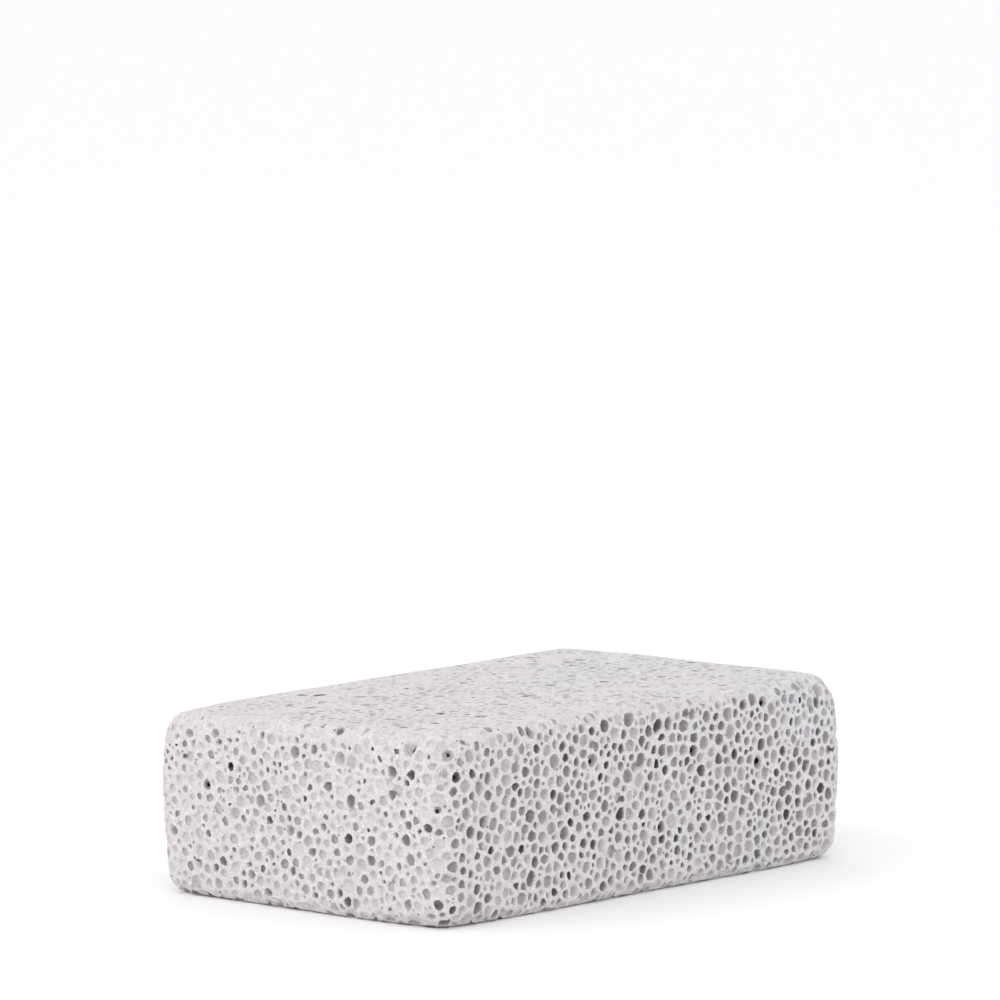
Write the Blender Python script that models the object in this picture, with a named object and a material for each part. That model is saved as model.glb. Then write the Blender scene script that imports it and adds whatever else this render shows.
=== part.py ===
"""A pumice stone for the bath: a hand-sized slab of foamed stone, sawn square and worn round at its edges.

The slab lies on its largest face. Its faces cut through the bubbles that the stone is made of, and
the widest of those bubbles are opened here as pits. The frame has its origin under the middle of
the slab, +X along its length and +Z up. Lengths are in metres.
"""

import math

import bmesh
import bpy
import numpy as np
from mathutils import Matrix, Vector, noise
from mathutils.bvhtree import BVHTree
from mathutils.kdtree import KDTree

LENGTH = 0.100
WIDTH = 0.060
HEIGHT = 0.030
HALF = Vector((LENGTH, WIDTH, HEIGHT)) / 2
MIDDLE = Vector((0, 0, HALF.z))

# How far the edges are worn round, and how much further along one upright edge and at each corner,
# which the signs of x, y and z name
EDGE_RADIUS = 0.0022
UPRIGHT_WEAR = {(-1, -1): 0.0018}
CORNER_WEAR = {
    (-1, -1, 1): 0.0008,
    (-1, 1, 1): 0.0024,
    (1, -1, 1): 0.0028,
    (1, 1, 1): 0.0012,
    (-1, 1, -1): 0.0010,
    (1, -1, -1): 0.0014,
}
WEAR_REACH = 0.008
RADIUS_CHANGE = 0.0006
RADIUS_SPAN = 0.016

# The saw left the slab slightly out of true at the corner over -X and +Y
LOW_CORNER = (-1, 1)
LOW_CORNER_DROP = 0.0014
LOW_CORNER_LEAN = Vector((0.0016, -0.0008, 0))

# Its faces wave a little, apart from the flat one that it lies on
WAVE_DEPTH = 0.00025
WAVE_SPAN = 0.013
FLAT_FOOT = 0.002

# The grid that carries this shape: cuts at these insets from each edge, then even steps
EDGE_CUTS = (0.0009, 0.0026)
GRID_STEP = 0.013

# The foam, in a layer along the surface: the wide bubbles settle first, and narrower ones fill in
# between them. Each line is a width and how many times it is tried.
SEED = 27
BUBBLE_TRIES = (
    (0.0021, 2500),
    (0.0018, 8000),
    (0.00155, 15000),
    (0.0013, 22000),
    (0.00105, 22000),
    (0.00085, 18000),
)
WIDTH_CHANGE = 0.14
WIDTH_SPAN = 0.011

# The lowest and highest that a centre is above the surface, in widths
LAYER = (-0.45, 0.05)

NEIGHBOURS = 20
WALL = 0.00026
LARGEST_REACH = 0.0024
ROUNDING = 10

# The pits that are opened: the widest bubbles that a face cuts, each one a five-sided dimple.
# None is opened in the patch round the origin that the slab rests on.
PIT_COUNT = 580
PIT_SIDES = 5
PIT_GAP = 0.0038
PIT_RISE = 0.0002
PIT_MARGIN = 0.0004
REST_PATCH = 0.004

STONE_COLOUR = (0.62, 0.585, 0.595, 1.0)
STONE_ROUGHNESS = 0.92


def clear_scene():
    for thing in list(bpy.data.objects):
        bpy.data.objects.remove(thing)


def collection(name):
    made = bpy.data.collections.new(name)
    bpy.context.scene.collection.children.link(made)
    return made


def object_of(name, mesh, home):
    """A new object in the home collection, from a bmesh that is used up."""
    data = bpy.data.meshes.new(name)
    mesh.to_mesh(data)
    mesh.free()
    made = bpy.data.objects.new(name, data)
    home.objects.link(made)
    return made


def stone_material():
    made = bpy.data.materials.new("pumice")
    made.use_nodes = True
    shader = made.node_tree.nodes["Principled BSDF"]
    shader.inputs["Base Color"].default_value = STONE_COLOUR
    shader.inputs["Roughness"].default_value = STONE_ROUGHNESS
    shader.inputs["Metallic"].default_value = 0.0
    return made


def cut_places(half):
    """Where one axis of the slab is cut: close together by the worn edges, and evenly in between."""
    band = half - EDGE_CUTS[-1]
    steps = max(1, round(2 * band / GRID_STEP))
    middle = [band * (2 * i / steps - 1) for i in range(steps + 1)]
    edges = [half - inset for inset in EDGE_CUTS[:-1]]
    return [-place for place in edges] + middle + edges


def gridded_slab():
    """The sharp slab, centred on the origin, with a grid cut into its faces."""
    slab = bmesh.new()
    bmesh.ops.create_cube(slab, size=1)
    bmesh.ops.scale(slab, vec=(LENGTH, WIDTH, HEIGHT), verts=slab.verts)
    for axis in range(3):
        across = Vector((0, 0, 0))
        across[axis] = 1
        for place in cut_places(HALF[axis]):
            bmesh.ops.bisect_plane(
                slab,
                geom=slab.verts[:] + slab.edges[:] + slab.faces[:],
                dist=1e-6,
                plane_co=across * place,
                plane_no=across,
            )
    return slab


def edge_radius(point):
    """The radius that the edges are worn to near this point."""
    radius = EDGE_RADIUS + RADIUS_CHANGE * noise.noise(point / RADIUS_SPAN)
    for (x, y), extra in UPRIGHT_WEAR.items():
        edge = Vector((x * HALF.x, y * HALF.y, point.z))
        radius += extra * math.exp(-(((point - edge).length / WEAR_REACH) ** 2))
    for signs, extra in CORNER_WEAR.items():
        corner = Vector(sign * half for sign, half in zip(signs, HALF))
        radius += extra * math.exp(-(((point - corner).length / WEAR_REACH) ** 2))
    return radius


def worn(point, height=0.0):
    """Where a point of the sharp slab lies once it is worn, wavy and out of true, or a place over that."""
    radius = edge_radius(point)
    core = Vector(max(radius - half, min(half - radius, c)) for c, half in zip(point, HALF))
    outward = (point - core).normalized()
    place = core + outward * (radius + height)
    above_foot = max(0.0, min(1.0, (place.z + HALF.z) / FLAT_FOOT))
    place += outward * WAVE_DEPTH * above_foot * noise.noise(point / WAVE_SPAN)
    share_x, share_y = (0.5 + 0.5 * s * c / half for s, c, half in zip(LOW_CORNER, point, HALF))
    top_share = 0.5 + 0.5 * point.z / HALF.z
    place.z -= LOW_CORNER_DROP * share_x * share_y * top_share
    return place + LOW_CORNER_LEAN * share_x * share_y * (1 - top_share) + MIDDLE


def worn_slab():
    """The slab before its bubbles are opened, standing on z = 0."""
    slab = gridded_slab()
    for vertex in slab.verts:
        vertex.co = worn(vertex.co)
    bmesh.ops.triangulate(slab, faces=slab.faces)
    return slab


def tree_of(places):
    tree = KDTree(len(places))
    for index, place in enumerate(places):
        tree.insert(place, index)
    tree.balance()
    return tree


def places_on_slab(chance, count):
    """Random places all over the sharp slab's surface."""
    sizes = np.array([WIDTH * HEIGHT, LENGTH * HEIGHT, LENGTH * WIDTH])
    places = chance.uniform(-1, 1, (count, 3))
    places[np.arange(count), chance.choice(3, count, p=sizes / sizes.sum())] = chance.choice((-1, 1), count)
    return places * HALF


def scattered_bubbles():
    """Bubble centres and widths: each pair is at least its mean width apart."""
    chance = np.random.default_rng(SEED)
    reach = BUBBLE_TRIES[0][0] * (1 + WIDTH_CHANGE)
    seeds, widths = [], []
    for plain_width, count in BUBBLE_TRIES:
        heights = plain_width * chance.uniform(*LAYER, count)
        settled = tree_of(seeds)
        fresh, fresh_widths = [], []
        for place, height in zip(map(Vector, places_on_slab(chance, count)), heights):
            width = plain_width * (1 + WIDTH_CHANGE * noise.noise(place / WIDTH_SPAN))
            seed = worn(place, height)
            near = settled.find_range(seed, (width + reach) / 2)
            if all(gap > (width + widths[other]) / 2 for _, other, gap in near):
                fresh.append(seed)
                fresh_widths.append(width)
        crowd, taken = tree_of(fresh), set()
        for index, (seed, width) in enumerate(zip(fresh, fresh_widths)):
            if not any(other in taken for _, other, _ in crowd.find_range(seed, width)):
                taken.add(index)
        seeds += [fresh[index] for index in sorted(taken)]
        widths += [fresh_widths[index] for index in sorted(taken)]
    return seeds, widths


def bubble_reach(seed, width, others, ways):
    """How far a bubble reaches each way before its walls. The others are places and widths."""
    gaps = np.array([place - seed for place, _ in others])
    lengths = np.linalg.norm(gaps, axis=1)
    shares = np.array([width / (width + other_width) for _, other_width in others])
    facing = np.clip(np.array(ways) @ (gaps / lengths[:, None]).T, 0, None)
    crowding = ((facing / (lengths * shares - WALL / 2)) ** ROUNDING).sum(axis=1)
    return (crowding + LARGEST_REACH**-ROUNDING) ** (-1 / ROUNDING)


def ring_of(normal, count):
    """This many directions evenly round a normal."""
    side = normal.orthogonal().normalized()
    return [Matrix.Rotation(math.tau * i / count, 3, normal) @ side for i in range(count)]


def opened_bubbles(surface):
    """The bubbles that the surface cuts open, the widest mouth first."""
    seeds, widths = scattered_bubbles()
    tree = tree_of(seeds)
    found = []
    for seed, width in zip(seeds, widths):
        foot, normal, _, _ = surface.find_nearest(seed)
        height = (seed - foot).dot(normal)
        others = [(place, widths[other]) for place, other, _ in tree.find_n(seed, NEIGHBOURS)[1:]]
        ways = ring_of(normal, PIT_SIDES)
        *sides, up = bubble_reach(seed, width, others, ways + [normal])
        if up + height < PIT_MARGIN or min(sides) <= abs(height) or foot.length < REST_PATCH:
            continue
        mouth = [math.sqrt(side**2 - height**2) for side in sides]
        found.append({"foot": foot, "normal": normal, "ways": ways, "mouth": mouth})
    return sorted(found, key=lambda bubble: -sum(bubble["mouth"]))


def spread_out(bubbles):
    """The first of the bubbles whose feet keep the gap between pits, up to the count."""
    kept = []
    for bubble in bubbles:
        if len(kept) < PIT_COUNT and all((bubble["foot"] - other["foot"]).length > PIT_GAP for other in kept):
            kept.append(bubble)
    return kept


def add_dimple(cutters, bubble):
    """A cone that opens one bubble, its rim on the bubble's mouth, as deep as the mouth's mean radius."""
    depth = sum(bubble["mouth"]) / PIT_SIDES
    flare = (depth + PIT_RISE) / depth
    cone = bmesh.ops.create_cone(cutters, cap_ends=True, segments=PIT_SIDES, radius1=1, radius2=0, depth=1)
    rim = sorted(cone["verts"], key=lambda vertex: vertex.co.z)[:PIT_SIDES]
    turn = sorted(rim, key=lambda vertex: -math.atan2(vertex.co.y, vertex.co.x))
    for vertex in cone["verts"]:
        vertex.co = bubble["foot"] - bubble["normal"] * depth
    for vertex, way, reach in zip(turn, bubble["ways"], bubble["mouth"]):
        vertex.co = bubble["foot"] + bubble["normal"] * PIT_RISE + way * reach * flare


def main():
    clear_scene()
    slab = worn_slab()
    surface = BVHTree.FromBMesh(slab)
    stone = object_of("pumice_stone", slab, collection("pumice_stone"))
    stone.data.materials.append(stone_material())

    cutters = bmesh.new()
    for bubble in spread_out(opened_bubbles(surface)):
        add_dimple(cutters, bubble)
    dimples = object_of("pit_cutters", cutters, collection("cutters"))
    dimples.hide_render = True
    dimples.display_type = "WIRE"

    cut = stone.modifiers.new("open_pits", "BOOLEAN")
    cut.operation = "DIFFERENCE"
    cut.object = dimples


main()
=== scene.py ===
"""The looks of a pumice stone: a sawn slab of foamed stone whose faces cut its bubbles open.

The stone is one mesh. It starts as the worn slab. Every bubble that a face cuts is taken out of it,
down to the dust that lies in it, and some of these bubbles open onto others behind them. Then chips
come off its edges. Lengths are in metres.
"""

import math

import bmesh
import bpy
import numpy as np
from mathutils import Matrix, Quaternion, Vector, noise
from mathutils.bvhtree import BVHTree
from mathutils.kdtree import KDTree


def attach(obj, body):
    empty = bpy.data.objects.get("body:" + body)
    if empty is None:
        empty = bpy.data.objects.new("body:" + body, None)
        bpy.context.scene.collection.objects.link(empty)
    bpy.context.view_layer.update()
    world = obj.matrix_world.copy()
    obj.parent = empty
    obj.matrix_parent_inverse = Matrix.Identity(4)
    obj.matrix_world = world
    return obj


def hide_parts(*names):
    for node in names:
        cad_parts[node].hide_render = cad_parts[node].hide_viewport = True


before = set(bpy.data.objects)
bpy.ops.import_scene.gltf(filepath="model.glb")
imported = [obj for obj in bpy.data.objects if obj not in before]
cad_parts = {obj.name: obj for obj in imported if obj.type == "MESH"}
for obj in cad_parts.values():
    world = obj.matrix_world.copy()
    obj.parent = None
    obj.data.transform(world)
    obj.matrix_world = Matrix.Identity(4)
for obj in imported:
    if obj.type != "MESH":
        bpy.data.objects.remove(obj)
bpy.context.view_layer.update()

# The slab
LENGTH = 0.100
WIDTH = 0.060
HEIGHT = 0.030
HALF = Vector((LENGTH, WIDTH, HEIGHT)) / 2
MIDDLE = Vector((0, 0, HALF.z))

# How far the edges are worn round, and how much further along one upright edge and at each corner,
# which the signs of x, y and z name
EDGE_RADIUS = 0.0022
UPRIGHT_WEAR = {(-1, -1): 0.0018}
CORNER_WEAR = {
    (-1, -1, 1): 0.0008,
    (-1, 1, 1): 0.0024,
    (1, -1, 1): 0.0028,
    (1, 1, 1): 0.0012,
    (-1, 1, -1): 0.0010,
    (1, -1, -1): 0.0014,
}
WEAR_REACH = 0.008
RADIUS_CHANGE = 0.0006
RADIUS_SPAN = 0.016

# The saw left the slab slightly out of true at the corner over -X and +Y
LOW_CORNER = (-1, 1)
LOW_CORNER_DROP = 0.0014
LOW_CORNER_LEAN = Vector((0.0016, -0.0008, 0))

# Its faces wave a little, apart from the flat one that it lies on
WAVE_DEPTH = 0.00025
WAVE_SPAN = 0.013
FLAT_FOOT = 0.002

# The grid that carries this shape: cuts at these insets from each edge, then even steps
EDGE_CUTS = (0.0003, 0.0009, 0.0016, 0.0026, 0.0044)
GRID_STEP = 0.005
CUT_TOLERANCE = 1e-6

# The seeds of the random draws: for the foam, its tones, the room its bubbles take, and the chips
SEED = 27
TONE_SEED = 28
ROOM_SEED = 30
CHIP_SEED = 31

# The foam, in a layer along the surface: the wide bubbles settle first, and narrower ones fill in
# between them. Each line is a width and how many times it is tried.
BUBBLE_TRIES = (
    (0.0021, 2500),
    (0.0018, 8000),
    (0.00155, 15000),
    (0.0013, 22000),
    (0.00105, 22000),
    (0.00085, 18000),
)
WIDTH_CHANGE = 0.14
WIDTH_SPAN = 0.011

# The lowest and highest that a centre is above the surface, in widths
LAYER = (-0.45, 0.05)

# Bubbles under that layer
DEEP_TRIES = ((0.0018, 12000), (0.0014, 10000))
DEEP_LAYER = (-1.4, -0.8)

# The bubbles' shape: the neighbours that press on one, the wall that two share, how far one reaches
# in the open, and how sharply it turns from one wall to the next
NEIGHBOURS = 20
WALL = 0.00026
LARGEST_REACH = 0.0024
ROUNDING = 7

# How much of the room between its walls a bubble takes, and how much less where dust clogs it
ROOM_TAKEN = (0.8, 1.06)
CLOGGED = 0.3

# How a bubble is meshed: this many sides up to each mean reach, and its rings of vertices
SIDES_BY_REACH = ((0.00045, 6), (0.0007, 7), (math.inf, 8))
RINGS = 4

# The lumps in a bubble's wall: how far they come in, as a share of its reach, their span, and the
# value of the noise that they start at
LUMPS = 0.16
LUMP_SPAN = 0.0006
LUMP_START = -0.2

# How far a bubble reaches past the surface, to both sides of it, before it counts as cut open
LEAST_BITE = 0.0001

# Broken walls: the share of clean bubbles that break through, the nearest ones that don't break
# along with one, the nearest that it may open onto, and how far it reaches past the wall
BREAK_SHARE = 0.9
BREAK_CROWD = 12
BREAK_PARTNERS = 8
BREAK_REACH = 0.0004

# Chips that have come off the edges: how many are tried, their reaches, how rare wide ones are,
# their lengths, how deep they bite, as a share of the reach and at most, the gap between two of
# them, and their sides and lumps
CHIP_TRIES = 4000
CHIP_REACHES = (0.0005, 0.0028)
CHIP_RARITY = 2.5
CHIP_LENGTHS = (1.0, 1.5)
CHIP_BITES = (0.3, 0.9)
MOST_BITE = 0.0008
CHIP_GAP = 1.05
CHIP_SIDES = 8
CHIP_LUMPS = 0.3
CHIP_LUMP_COUNT = 2

# How deep the floors of clean bubbles lie, how much of that is by tone and not by chance, how deep
# they lie in bubbles full of dust, and how much of a bubble's own roundness its floor keeps
CLEAN_FLOORS = (0.00045, 0.0036)
FLOOR_BY_TONE = 0.5
DUSTY_FLOOR = 0.00011
FLOOR_DIP = 0.25

# Dust that the saw left in the bubbles: how much by the way that a face looks, which is partly
# painted light that makes the lit end over -X and the top paler, how much more along the edges, how
# it changes, and between which amounts it starts to fill a bubble to the brim
DUST_AND_LIGHT_BY_FACE = {
    (-1, 0, 0): 0.62,
    (0, 0, 1): 0.95,
    (0, 1, 0): 0.4,
    (1, 0, 0): 0.3,
    (0, -1, 0): 0.12,
    (0, 0, -1): 0.4,
}
EDGE_DUST = 0.44
DUST_CHANGE = 0.25
DUST_SPAN = 0.009
FILLED_FROM = (0.85, 1.12)

# Narrow bubbles and wide ones, the share of each that the dust was shaken out of, how rare dark
# ones are among each, their darkness partly painted shade of deep cavities, and the share of the
# dust that stays in a shaken one
NARROW_TO_WIDE = (0.0009, 0.0017)
SHAKEN_OUT = (0.34, 0.07)
TONE_POWERS = (1.1, 3.2)
DUST_LEFT = 0.2

# Rims of bubbles that turn by less than this are shaded round, as worn ones are, and so are the
# stone's own edges that turn by less than the second
SOFT_RIM = math.radians(75)
SOFT_CHIP = math.radians(32)

MOST_TRIANGLES = 195000

# How many bubbles near a point are tried as the one that it lines
OWNERS_TRIED = 4

# The stone's two materials, by slot: on its sawn surface and in its bubbles
SAWN_SLOT = 0
SKIN_SLOT = 1

# The sawn surface. After its colours, each line is a noise's span, detail and roughness, the values
# that its change starts and ends at, and what they turn into.
SAWN_PINK = (0.73, 0.69, 0.70, 1)
SAWN_GREY = (0.71, 0.695, 0.705, 1)
DRIFT = (0.012, 2, 0.5, 0.35, 0.65, 0, 1)
CLOUDS = (0.0007, 3, 0.65, 0.3, 0.7, 0.83, 1.09)
GRAINS = (0.0002, 3, 0.6, 0.3, 0.46, 0.8, 1)
FLECKS = (0.00032, 1, 0.5, 0.56, 0.72, 1, 1.18)
SAWN_ROUGHNESS = (0.0006, 2, 0.5, 0.3, 0.7, 0.85, 1)

# Its pinholes, spots of painted shade, one in each cell of this span: between which random values
# of a cell they widen, their reaches there as shares of the span, with none under 0, and how soft
# their rims are
PINHOLE_SHADE = (0.25, 0.23, 0.235, 1)
PINHOLE_SPAN = 0.0011
PINHOLE_CHANCES = (0.35, 1)
PINHOLE_REACHES = (-0.1, 0.24)
PINHOLE_RIM = (-0.02, 0.05)

# The skin of the bubbles: its tones, whose dark end is partly painted shade, how they change in the
# same way as above, the depths between which painted shade darkens it, and those between which it
# takes over from the sawn surface
SKIN_PALE = (0.60, 0.56, 0.57, 1)
SKIN_DARK_SHADE = (0.16, 0.148, 0.152, 1)
SKIN_DEEP_SHADE = (0.45, 0.41, 0.42, 1)
DUST_AND_LIGHT = (0.71, 0.68, 0.69, 1)
PATCHES = (0.0007, 3, 0.6, 0.3, 0.7, 0.86, 1.06)
SKIN_ROUGHNESS = (0.0006, 2, 0.5, 0.3, 0.7, 0.75, 0.95)
SHADE_DEPTHS = (0.0005, 0.002)
RIM_DEPTHS = (0.00005, 0.0005)

# A tint over both, from the end over -X to the one over +X
TINT_NEAR = (1.008, 0.993, 0.994, 1)
TINT_FAR = (0.985, 1.0, 1.017, 1)

# The finest relief: a noise's span, detail and roughness, and how deep it is
SAWN_RELIEF = (0.0003, 4, 0.7, 0.00014)
SKIN_RELIEF = (0.0003, 4, 0.6, 0.00012)

# A Mix node's sockets: its factor and two colours, and its result
MIX_INPUTS = (0, 6, 7)
MIX_OUTPUT = 2

# The camera: where it stands, the way that it looks over the ground and how far down, and its lens
CAMERA_PLACE = (-0.78517, -0.66281, 0.15958)
CAMERA_AHEAD = (0.76367, 0.64560)
CAMERA_DOWN = math.radians(5.531)
LENS = 234
SENSOR = 36
CLIP_START = 0.1
CLIP_END = 10

# Each light's name, azimuth, elevation, size and power
LIGHTS = (
    ("key", -110, 38, 0.45, 0.9),
    ("second", -50, 40, 0.45, 0.85),
)
LIGHT_DISTANCE = 0.9
WORLD_COLOUR = (1, 1, 1, 1)
WORLD_STRENGTH = 1.0

FLOOR_REACH = 25
FLOOR_COLOUR = (0.98, 0.98, 0.98, 1)
FLOOR_ROUGHNESS = 0.9


def object_of(name, mesh):
    """A new object from a bmesh that is used up."""
    data = bpy.data.meshes.new(name)
    mesh.to_mesh(data)
    mesh.free()
    return linked(name, data)


def linked(name, data):
    """A new object in the scene."""
    made = bpy.data.objects.new(name, data)
    bpy.context.scene.collection.objects.link(made)
    return made


def cut_places(half):
    """Where one axis of the slab is cut: closely by the worn edges, and evenly in between."""
    band = half - EDGE_CUTS[-1]
    steps = max(1, round(2 * band / GRID_STEP))
    middle = [band * (2 * i / steps - 1) for i in range(steps + 1)]
    edges = [half - inset for inset in EDGE_CUTS[:-1]]
    return [-place for place in edges] + middle + edges


def gridded_slab():
    """The sharp slab, centred on the origin, with a grid cut into its faces."""
    slab = bmesh.new()
    bmesh.ops.create_cube(slab, size=1)
    bmesh.ops.scale(slab, vec=(LENGTH, WIDTH, HEIGHT), verts=slab.verts)
    for axis in range(3):
        across = Vector((0, 0, 0))
        across[axis] = 1
        for place in cut_places(HALF[axis]):
            bmesh.ops.bisect_plane(
                slab,
                geom=slab.verts[:] + slab.edges[:] + slab.faces[:],
                dist=CUT_TOLERANCE,
                plane_co=across * place,
                plane_no=across,
            )
    return slab


def edge_radius(point):
    """The radius that the edges are worn to near this point."""
    radius = EDGE_RADIUS + RADIUS_CHANGE * noise.noise(point / RADIUS_SPAN)
    for (x, y), extra in UPRIGHT_WEAR.items():
        edge = Vector((x * HALF.x, y * HALF.y, point.z))
        radius += extra * math.exp(-(((point - edge).length / WEAR_REACH) ** 2))
    for signs, extra in CORNER_WEAR.items():
        corner = Vector(sign * half for sign, half in zip(signs, HALF))
        radius += extra * math.exp(-(((point - corner).length / WEAR_REACH) ** 2))
    return radius


def worn(point, height=0.0):
    """Where a point of the sharp slab lies once it is worn and out of true, or a place over it."""
    radius = edge_radius(point)
    core = Vector(max(radius - half, min(half - radius, c)) for c, half in zip(point, HALF))
    outward = (point - core).normalized()
    place = core + outward * (radius + height)
    above_foot = max(0.0, min(1.0, (place.z + HALF.z) / FLAT_FOOT))
    place += outward * WAVE_DEPTH * above_foot * noise.noise(point / WAVE_SPAN)
    share_x, share_y = (0.5 + 0.5 * s * c / half for s, c, half in zip(LOW_CORNER, point, HALF))
    top_share = 0.5 + 0.5 * point.z / HALF.z
    place.z -= LOW_CORNER_DROP * share_x * share_y * top_share
    return place + LOW_CORNER_LEAN * share_x * share_y * (1 - top_share) + MIDDLE


def worn_slab():
    """The slab before its bubbles are opened, standing on z = 0."""
    slab = gridded_slab()
    for vertex in slab.verts:
        vertex.co = worn(vertex.co)
    bmesh.ops.triangulate(slab, faces=slab.faces)
    return slab


def tree_of(places):
    tree = KDTree(len(places))
    for index, place in enumerate(places):
        tree.insert(place, index)
    tree.balance()
    return tree


def places_on_slab(chance, count):
    """Random places all over the sharp slab's surface."""
    sizes = np.array([WIDTH * HEIGHT, LENGTH * HEIGHT, LENGTH * WIDTH])
    places = chance.uniform(-1, 1, (count, 3))
    signs = chance.choice((-1, 1), count)
    axes = chance.choice(3, count, p=sizes / sizes.sum())
    places[np.arange(count), axes] = signs
    return places * HALF


def scattered_bubbles():
    """Bubble centres and widths: each pair is at least its mean width apart."""
    chance = np.random.default_rng(SEED)
    reach = BUBBLE_TRIES[0][0] * (1 + WIDTH_CHANGE)
    seeds, widths = [], []
    rounds = [(LAYER, *line) for line in BUBBLE_TRIES]
    rounds += [(DEEP_LAYER, *line) for line in DEEP_TRIES]
    for layer, plain_width, count in rounds:
        heights = plain_width * chance.uniform(*layer, count)
        settled = tree_of(seeds)
        fresh, fresh_widths = [], []
        for place, height in zip(map(Vector, places_on_slab(chance, count)), heights):
            width = plain_width * (1 + WIDTH_CHANGE * noise.noise(place / WIDTH_SPAN))
            seed = worn(place, height)
            near = settled.find_range(seed, (width + reach) / 2)
            if all(gap > (width + widths[other]) / 2 for _, other, gap in near):
                fresh.append(seed)
                fresh_widths.append(width)
        crowd, taken = tree_of(fresh), set()
        for index, (seed, width) in enumerate(zip(fresh, fresh_widths)):
            if not any(other in taken for _, other, _ in crowd.find_range(seed, width)):
                taken.add(index)
        seeds += [fresh[index] for index in sorted(taken)]
        widths += [fresh_widths[index] for index in sorted(taken)]
    return seeds, np.array(widths)


class Foam:
    """Bubbles round their seeds, each one kept clear of the next by a wall."""

    def __init__(self):
        seeds, self.widths = scattered_bubbles()
        tree = tree_of(seeds)
        self.seeds = np.array(seeds)
        near = [tree.find_n(seed, NEIGHBOURS)[1:] for seed in seeds]
        self.beside = np.array([[index for _, index, _ in found] for found in near])
        gaps = self.seeds[self.beside] - self.seeds[:, None]
        lengths = np.linalg.norm(gaps, axis=2)
        shares = self.widths[:, None] / (self.widths[:, None] + self.widths[self.beside])
        self.toward = gaps / lengths[:, :, None]
        self.limits = np.maximum(lengths * shares - WALL / 2, WALL / 2)
        self.room = np.random.default_rng(ROOM_SEED).uniform(*ROOM_TAKEN, len(seeds))

    def reach(self, index, ways):
        """How far one bubble reaches each way before the walls that it shares."""
        facing = np.clip(ways @ self.toward[index].T, 0, None)
        crowding = ((facing / self.limits[index]) ** ROUNDING).sum(axis=1)
        return self.room[index] * (crowding + LARGEST_REACH**-ROUNDING) ** (-1 / ROUNDING)


def ball_ways(sides):
    """The directions of a ball's vertices, pole to pole along z, and its faces."""
    ball = bmesh.new()
    bmesh.ops.create_uvsphere(ball, u_segments=sides, v_segments=RINGS + 1, radius=1)
    ways = np.array([vertex.co[:] for vertex in ball.verts])
    faces = [[vertex.index for vertex in face.verts] for face in ball.faces]
    ball.free()
    return ways, faces


def dust_at(point, normal):
    """How dusty the surface is here, from 0 to 1, partly painted light on the lit end and top."""
    shares = {way: max(0.0, normal.dot(Vector(way))) ** 2 for way in DUST_AND_LIGHT_BY_FACE}
    dust = sum(DUST_AND_LIGHT_BY_FACE[way] * share for way, share in shares.items())
    dust += EDGE_DUST * (1 - max(shares.values()))
    return max(0.0, min(1.0, dust + DUST_CHANGE * noise.noise(point / DUST_SPAN)))


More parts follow.
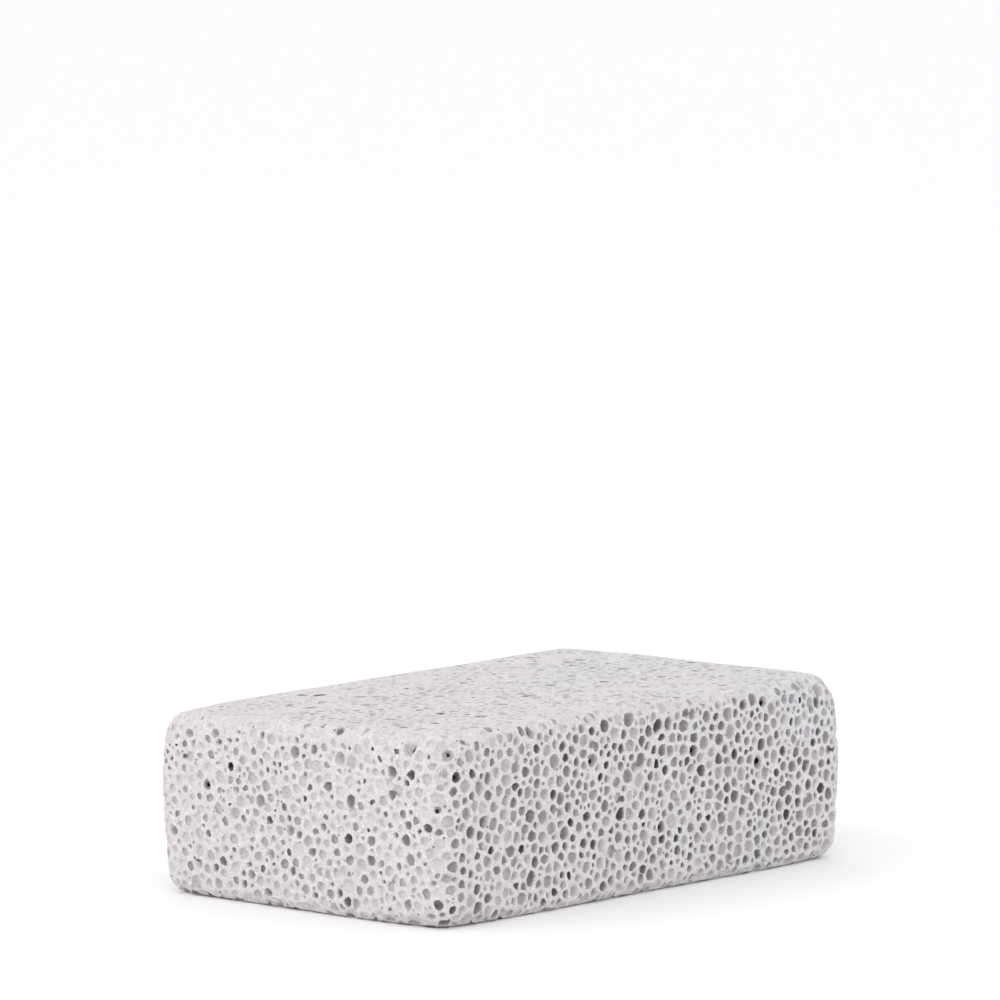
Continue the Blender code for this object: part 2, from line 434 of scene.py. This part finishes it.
class Bubbles:
    """The bubbles by how they meet the surface, and the shells that stand for them."""

    def __init__(self, foam, surface):
        self.foam = foam
        self.chance = np.random.default_rng(TONE_SEED)
        self.balls = {sides: ball_ways(sides) for _, sides in SIDES_BY_REACH}
        self.feet, self.normals, self.dust, self.floors = {}, {}, {}, {}
        self.opened, self.deep = set(), set()
        shaken_out = np.interp(foam.widths, NARROW_TO_WIDE, SHAKEN_OUT)
        powers = np.interp(foam.widths, NARROW_TO_WIDE, TONE_POWERS)
        # Each bubble's tone is random; its dark end is partly painted shade of deep pores
        self.tones = self.chance.random(len(foam.widths)) ** powers
        for index, centre in enumerate(map(Vector, foam.seeds.tolist())):
            foot, normal, _, _ = surface.find_nearest(centre)
            height = (centre - foot).dot(normal)
            dust = dust_at(foot, normal)
            foam.room[index] *= 1 - CLOGGED * dust**2
            up, down = foam.reach(index, np.array([normal, -normal]))
            # A shaken-out bubble keeps little dust and takes a darker tone, which is partly painted
            # shade
            if self.chance.random() < shaken_out[index]:
                self.tones[index] = self.tones[index] ** (1 - dust)
                dust *= DUST_LEFT
            self.feet[index], self.normals[index] = foot, normal
            self.dust[index] = dust
            self.floors[index] = self.floor_depth(index)
            if up + height > LEAST_BITE and down - height > LEAST_BITE:
                if dust < self.chance.uniform(*FILLED_FROM):
                    self.opened.add(index)
            else:
                self.deep.add(index)

    def floor_depth(self, index):
        """How deep a bubble's floor lies: by its tone, its dust and chance."""
        shallow, low = CLEAN_FLOORS
        share = (1 - FLOOR_BY_TONE) * self.chance.random() + FLOOR_BY_TONE * self.tones[index]
        clean = shallow * (low / shallow) ** share
        return clean * (DUSTY_FLOOR / clean) ** self.dust[index]

    def shell(self, index):
        """A closed mesh of one bubble, its poles along the surface's normal."""
        normal = self.normals[index]
        spin = Quaternion(normal, self.chance.uniform(0, math.tau))
        around = np.array([spin @ normal.orthogonal() * s for s in (1, -1)])
        mean_reach = self.foam.reach(index, around).mean()
        sides = next(count for most, count in SIDES_BY_REACH if mean_reach < most)
        ways, faces = self.balls[sides]
        turn = np.array((spin @ Vector((0, 0, 1)).rotation_difference(normal)).to_matrix())
        ways = ways @ turn.T
        reach = self.foam.reach(index, ways)
        centre = Vector(self.foam.seeds[index])
        for slot, way in enumerate(ways):
            lump = noise.noise((centre + Vector(way) * reach[slot]) / LUMP_SPAN)
            reach[slot] *= 1 - LUMPS * max(0.0, lump - LUMP_START)
        places = self.foam.seeds[index] + ways * reach[:, None]
        if index in self.opened:
            depths = (np.array(self.feet[index]) - places) @ np.array(normal)
            raised = (1 - FLOOR_DIP) * np.clip(depths - self.floors[index], 0, None)
            places += raised[:, None] * np.array(normal)
        return places, faces

    def broken_through(self):
        """Bubbles that have lost the wall to an opened one. No two of them are neighbours."""
        foam, chosen = self.foam, set()
        deep, opened = (self.chance.permutation(sorted(kind)) for kind in (self.deep, self.opened))
        for index in map(int, [*deep, *opened]):
            beside = foam.beside[index, :BREAK_CROWD].tolist()
            tried = self.chance.random() <= BREAK_SHARE * (1 - self.dust[index])
            if not tried or chosen.intersection(beside):
                continue
            if any(index in foam.beside[other, :BREAK_CROWD] for other in chosen):
                continue
            walls = [wall for wall in range(BREAK_PARTNERS) if beside[wall] in self.opened]
            if not walls:
                continue
            partner = beside[walls[0]]
            foam.limits[index, walls[0]] += WALL + BREAK_REACH
            foam.room[[index, partner]] = 1
            chosen.add(index)
            if index in self.deep:
                self.floors[partner] = LARGEST_REACH
        return chosen


def chips():
    """Closed lumps along the edges, each one a chip that has come off. None meets another."""
    chance = np.random.default_rng(CHIP_SEED)
    ways, faces = ball_ways(CHIP_SIDES)
    narrow, wide = CHIP_REACHES
    tried = narrow * (wide / narrow) ** (chance.random(CHIP_TRIES) ** CHIP_RARITY)
    kept, shells = [], []
    for reach in sorted(tried, reverse=True):
        along = chance.choice(3, p=np.array(HALF) / sum(HALF))
        corner = HALF * 1
        for axis in range(3):
            corner[axis] *= chance.uniform(-1, 1) if axis == along else chance.choice((-1, 1))
        centre = worn(corner, reach - min(reach * chance.uniform(*CHIP_BITES), MOST_BITE))
        length = chance.uniform(*CHIP_LENGTHS)
        longest = reach * length
        if any((centre - other).length < (longest + most) * CHIP_GAP for other, most in kept):
            continue
        stretch = np.ones(3)
        stretch[along] = length
        lumpy_places = [centre / narrow + Vector(way) * CHIP_LUMP_COUNT for way in ways]
        lumps = np.array([noise.noise(place) for place in lumpy_places])
        reaches = reach * (1 - CHIP_LUMPS * np.abs(lumps))
        shells.append((np.array(centre) + ways * stretch * reaches[:, None], faces))
        kept.append((centre, longest))
    return shells


def joined(name, shells, materials, slot):
    """One object from many closed shells, each a list of vertices and a list of faces."""
    points, faces = [], []
    for places, corners in shells:
        faces += [[corner + len(points) for corner in face] for face in corners]
        points += places.tolist()
    data = bpy.data.meshes.new(name)
    data.from_pydata(points, [], faces)
    for material in materials:
        data.materials.append(material)
    data.polygons.foreach_set("material_index", [slot] * len(faces))
    return linked(name, data)


def apply_modifier(piece, name, kind, **settings):
    """Adds a modifier with these settings to the piece and makes it real."""
    modifier = piece.modifiers.new(name, kind)
    for key, value in settings.items():
        setattr(modifier, key, value)
    evaluated = piece.evaluated_get(bpy.context.evaluated_depsgraph_get())
    data = bpy.data.meshes.new_from_object(evaluated)
    piece.modifiers.clear()
    piece.data = data


def cut_away(piece, cutter):
    """Takes the cutter out of the piece, and out of the scene."""
    how = {"operation": "DIFFERENCE", "solver": "MANIFOLD"}
    apply_modifier(piece, "cut", "BOOLEAN", object=cutter, **how)
    bpy.data.objects.remove(cutter)


def keep_largest_part(data):
    """Removes what hangs loose in a mesh, cuts the rest into triangles, and counts them."""
    mesh = bmesh.new()
    mesh.from_mesh(data)
    left, parts = set(mesh.verts), []
    while left:
        part, waiting = set(), [left.pop()]
        while waiting:
            vertex = waiting.pop()
            part.add(vertex)
            fresh = {edge.other_vert(vertex) for edge in vertex.link_edges} & left
            left -= fresh
            waiting += fresh
        parts.append(part)
    largest = max(parts, key=len)
    loose = [vertex for part in parts if part is not largest for vertex in part]
    bmesh.ops.delete(mesh, geom=loose, context="VERTS")

    # A corner of only two edges would leave the same triangle on both sides of it
    in_line = [vertex for vertex in mesh.verts if len(vertex.link_edges) == 2]
    bmesh.ops.dissolve_verts(mesh, verts=in_line)
    bmesh.ops.triangulate(mesh, faces=mesh.faces)
    mesh.to_mesh(data)
    triangles = len(mesh.faces)
    mesh.free()
    return triangles


def shade(mesh):
    """Shades the mesh round, apart from the sharp rims of its bubbles and edges of its chips."""
    mesh.shade_smooth()
    rims = bmesh.new()
    rims.from_mesh(mesh)
    for edge in rims.edges:
        lining = [face.material_index == SKIN_SLOT for face in edge.link_faces]
        most = math.tau if all(lining) else SOFT_RIM if any(lining) else SOFT_CHIP
        edge.smooth = edge.calc_face_angle(0) < most
    rims.to_mesh(mesh)
    rims.free()


def paint_attributes(mesh, bubbles, surface):
    """Each point's depth under the worn surface, which the painted shade reads, and the tone and
    dust of the bubble it lines.
    """
    foam = bubbles.foam
    tree = tree_of([Vector(seed) for seed in foam.seeds])
    depth, tone, dust = [], [], []
    for vertex in mesh.vertices:
        depth.append(surface.find_nearest(vertex.co)[3])
        near = tree.find_n(vertex.co, OWNERS_TRIED)
        owner = min(near, key=lambda found: found[2] / foam.widths[found[1]])[1]
        tone.append(bubbles.tones[owner])
        dust.append(bubbles.dust[owner])
    for name, values in {"depth": depth, "tone": tone, "dust": dust}.items():
        mesh.attributes.new(name, "FLOAT", "POINT").data.foreach_set("value", values)


class Nodes:
    """A material's nodes, made by short calls."""

    def __init__(self, name):
        self.material = bpy.data.materials.new(name)
        self.material.use_nodes = True
        self.tree = self.material.node_tree
        self.shader = self.tree.nodes["Principled BSDF"]
        self.place = self.tree.nodes.new("ShaderNodeTexCoord").outputs["Object"]

    def fill(self, socket, value):
        """Links an input to a socket, or sets it to a plain value."""
        if isinstance(value, bpy.types.NodeSocket):
            self.tree.links.new(value, socket)
        else:
            socket.default_value = value

    def add(self, kind, inputs, **settings):
        """A node with these settings and inputs."""
        node = self.tree.nodes.new("ShaderNode" + kind)
        for key, value in settings.items():
            setattr(node, key, value)
        for key, value in inputs.items():
            self.fill(node.inputs[key], value)
        return node

    def attribute(self, name):
        return self.add("Attribute", {}, attribute_name=name).outputs["Fac"]

    def noise(self, span, detail, rough):
        """Noise from 0 to 1 whose lumps are about this wide."""
        inputs = {"Vector": self.place, "Scale": 1 / span, "Detail": detail, "Roughness": rough}
        return self.add("TexNoise", inputs).outputs["Fac"]

    def spread(self, value, low, high, to_low=0.0, to_high=1.0):
        """The value, mapped from low and high to other limits and kept between them."""
        limits = {"From Min": low, "From Max": high, "To Min": to_low, "To Max": to_high}
        return self.add("MapRange", {"Value": value, **limits}).outputs["Result"]

    def change(self, span, detail, rough, *limits):
        """Noise that is spread between limits."""
        return self.spread(self.noise(span, detail, rough), *limits)

    def mixed(self, share, first, second, blend="MIX"):
        """Two colours in one, by the share of the second."""
        inputs = dict(zip(MIX_INPUTS, (share, first, second)))
        return self.add("Mix", inputs, data_type="RGBA", blend_type=blend).outputs[MIX_OUTPUT]

    def multiplied(self, colour, factor):
        return self.mixed(1.0, colour, factor, "MULTIPLY")

    def tinted(self, colour):
        """The colour, a little pinker towards -X and bluer towards +X."""
        along = self.add("SeparateXYZ", {"Vector": self.place}).outputs["X"]
        tint = self.mixed(self.spread(along, -HALF.x, HALF.x), TINT_NEAR, TINT_FAR)
        return self.multiplied(colour, tint)

    def pinholes(self):
        """Spots of many widths, from 0 beside them to 1 inside: where pinholes are painted dark as
        shade.
        """
        cells = self.add("TexVoronoi", {"Vector": self.place, "Scale": 1 / PINHOLE_SPAN})
        chance = self.add("SeparateColor", {"Color": cells.outputs["Color"]}).outputs["Red"]
        reach = self.spread(chance, *PINHOLE_CHANCES, *PINHOLE_REACHES)
        inside = self.add("Math", {0: reach, 1: cells.outputs["Distance"]}, operation="SUBTRACT")
        return self.spread(inside.outputs["Value"], *PINHOLE_RIM)

    def finish(self, colour, roughness, span, detail, rough, relief):
        """The material, its finest relief a noise of this span, detail, roughness and depth."""
        height = self.noise(span, detail, rough)
        bump = self.add("Bump", {"Height": height, "Distance": relief, "Strength": 1.0})
        self.fill(self.shader.inputs["Base Color"], colour)
        self.fill(self.shader.inputs["Roughness"], roughness)
        self.fill(self.shader.inputs["Normal"], bump.outputs["Normal"])
        return self.material


def sawn_stone():
    """The flat tops of the walls: chalky and pale, with clouds, grains, flecks and painted pinhole
    shade.
    """
    nodes = Nodes("sawn_stone")
    colour = nodes.mixed(nodes.change(*DRIFT), SAWN_PINK, SAWN_GREY)
    for change in (CLOUDS, GRAINS, FLECKS):
        colour = nodes.multiplied(colour, nodes.change(*change))
    # Painted shade: pinholes are darkened in colour, not cut
    colour = nodes.mixed(nodes.pinholes(), nodes.tinted(colour), PINHOLE_SHADE)
    return nodes.finish(colour, nodes.change(*SAWN_ROUGHNESS), *SAWN_RELIEF)


def bubble_skin():
    """The inside of the bubbles: greyer than the walls, painted shade by depth, paler by dust and
    painted light.
    """
    nodes = Nodes("bubble_skin")
    depth = nodes.attribute("depth")
    # Each bubble's tone, from pale to near black: the darker tones are partly painted shade
    skin = nodes.mixed(nodes.attribute("tone"), SKIN_PALE, SKIN_DARK_SHADE)
    # Painted shade: the skin darkens with its depth under the surface
    skin = nodes.mixed(nodes.spread(depth, *SHADE_DEPTHS), skin, nodes.multiplied(skin, SKIN_DEEP_SHADE))
    skin = nodes.mixed(nodes.spread(depth, *RIM_DEPTHS), SAWN_GREY, skin)
    # Dust pales the skin: partly real dust, partly painted light on the lit end and top
    dusty = nodes.mixed(nodes.attribute("dust"), skin, DUST_AND_LIGHT)
    colour = nodes.tinted(nodes.multiplied(dusty, nodes.change(*PATCHES)))
    return nodes.finish(colour, nodes.change(*SKIN_ROUGHNESS), *SKIN_RELIEF)


def pumice():
    slab = worn_slab()
    surface = BVHTree.FromBMesh(slab)
    piece = object_of("foamed_stone", slab)
    materials = [sawn_stone(), bubble_skin()]
    for material in materials:
        piece.data.materials.append(material)

    bubbles = Bubbles(Foam(), surface)
    broken = bubbles.broken_through()
    for name, indices in (("bubbles", bubbles.opened - broken), ("broken", broken)):
        shells = [bubbles.shell(index) for index in sorted(indices)]
        cut_away(piece, joined(name, shells, materials, SKIN_SLOT))
    cut_away(piece, joined("chips", chips(), materials, SAWN_SLOT))

    triangles = keep_largest_part(piece.data)
    apply_modifier(piece, "fewer", "DECIMATE", ratio=min(1.0, MOST_TRIANGLES / triangles))
    shade(piece.data)
    paint_attributes(piece.data, bubbles, surface)
    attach(piece, "root")
    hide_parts("pumice_stone")


def place_floor():
    floor = bmesh.new()
    bmesh.ops.create_grid(floor, x_segments=1, y_segments=1, size=FLOOR_REACH)
    made = object_of("floor", floor)
    material = bpy.data.materials.new("floor")
    material.use_nodes = True
    shader = material.node_tree.nodes["Principled BSDF"]
    shader.inputs["Base Color"].default_value = FLOOR_COLOUR
    shader.inputs["Roughness"].default_value = FLOOR_ROUGHNESS
    made.data.materials.append(material)


def area_light(name, azimuth, elevation, size, power):
    """A square soft light that faces the stone. The azimuth is 0 at -Y and turns towards +X."""
    turn, rise = math.radians(azimuth), math.radians(elevation)
    level = math.cos(rise)
    back = Vector((math.sin(turn) * level, -math.cos(turn) * level, math.sin(rise)))
    light = bpy.data.lights.new(name, "AREA")
    light.size = size
    light.energy = power
    made = linked(name, light)
    made.location = MIDDLE + back * LIGHT_DISTANCE
    made.rotation_euler = (-back).to_track_quat("-Z", "Y").to_euler()


def place_lights():
    world = bpy.data.worlds.new("studio")
    world.use_nodes = True
    backdrop = world.node_tree.nodes["Background"]
    backdrop.inputs["Color"].default_value = WORLD_COLOUR
    backdrop.inputs["Strength"].default_value = WORLD_STRENGTH
    bpy.context.scene.world = world
    bpy.context.scene.view_settings.view_transform = "Standard"
    for light in LIGHTS:
        area_light(*light)


def place_camera():
    """A long lens, low and turned to the corner between the slab's near end and long side."""
    camera = bpy.data.cameras.new("camera")
    camera.lens = LENS
    camera.sensor_width = SENSOR
    camera.clip_start = CLIP_START
    camera.clip_end = CLIP_END
    made = linked("camera", camera)
    made.location = CAMERA_PLACE
    east, north = CAMERA_AHEAD
    level = math.cos(CAMERA_DOWN)
    ahead = Vector((east * level, north * level, -math.sin(CAMERA_DOWN)))
    made.rotation_euler = ahead.to_track_quat("-Z", "Y").to_euler()
    bpy.context.scene.camera = made


pumice()
place_floor()
place_lights()
place_camera()
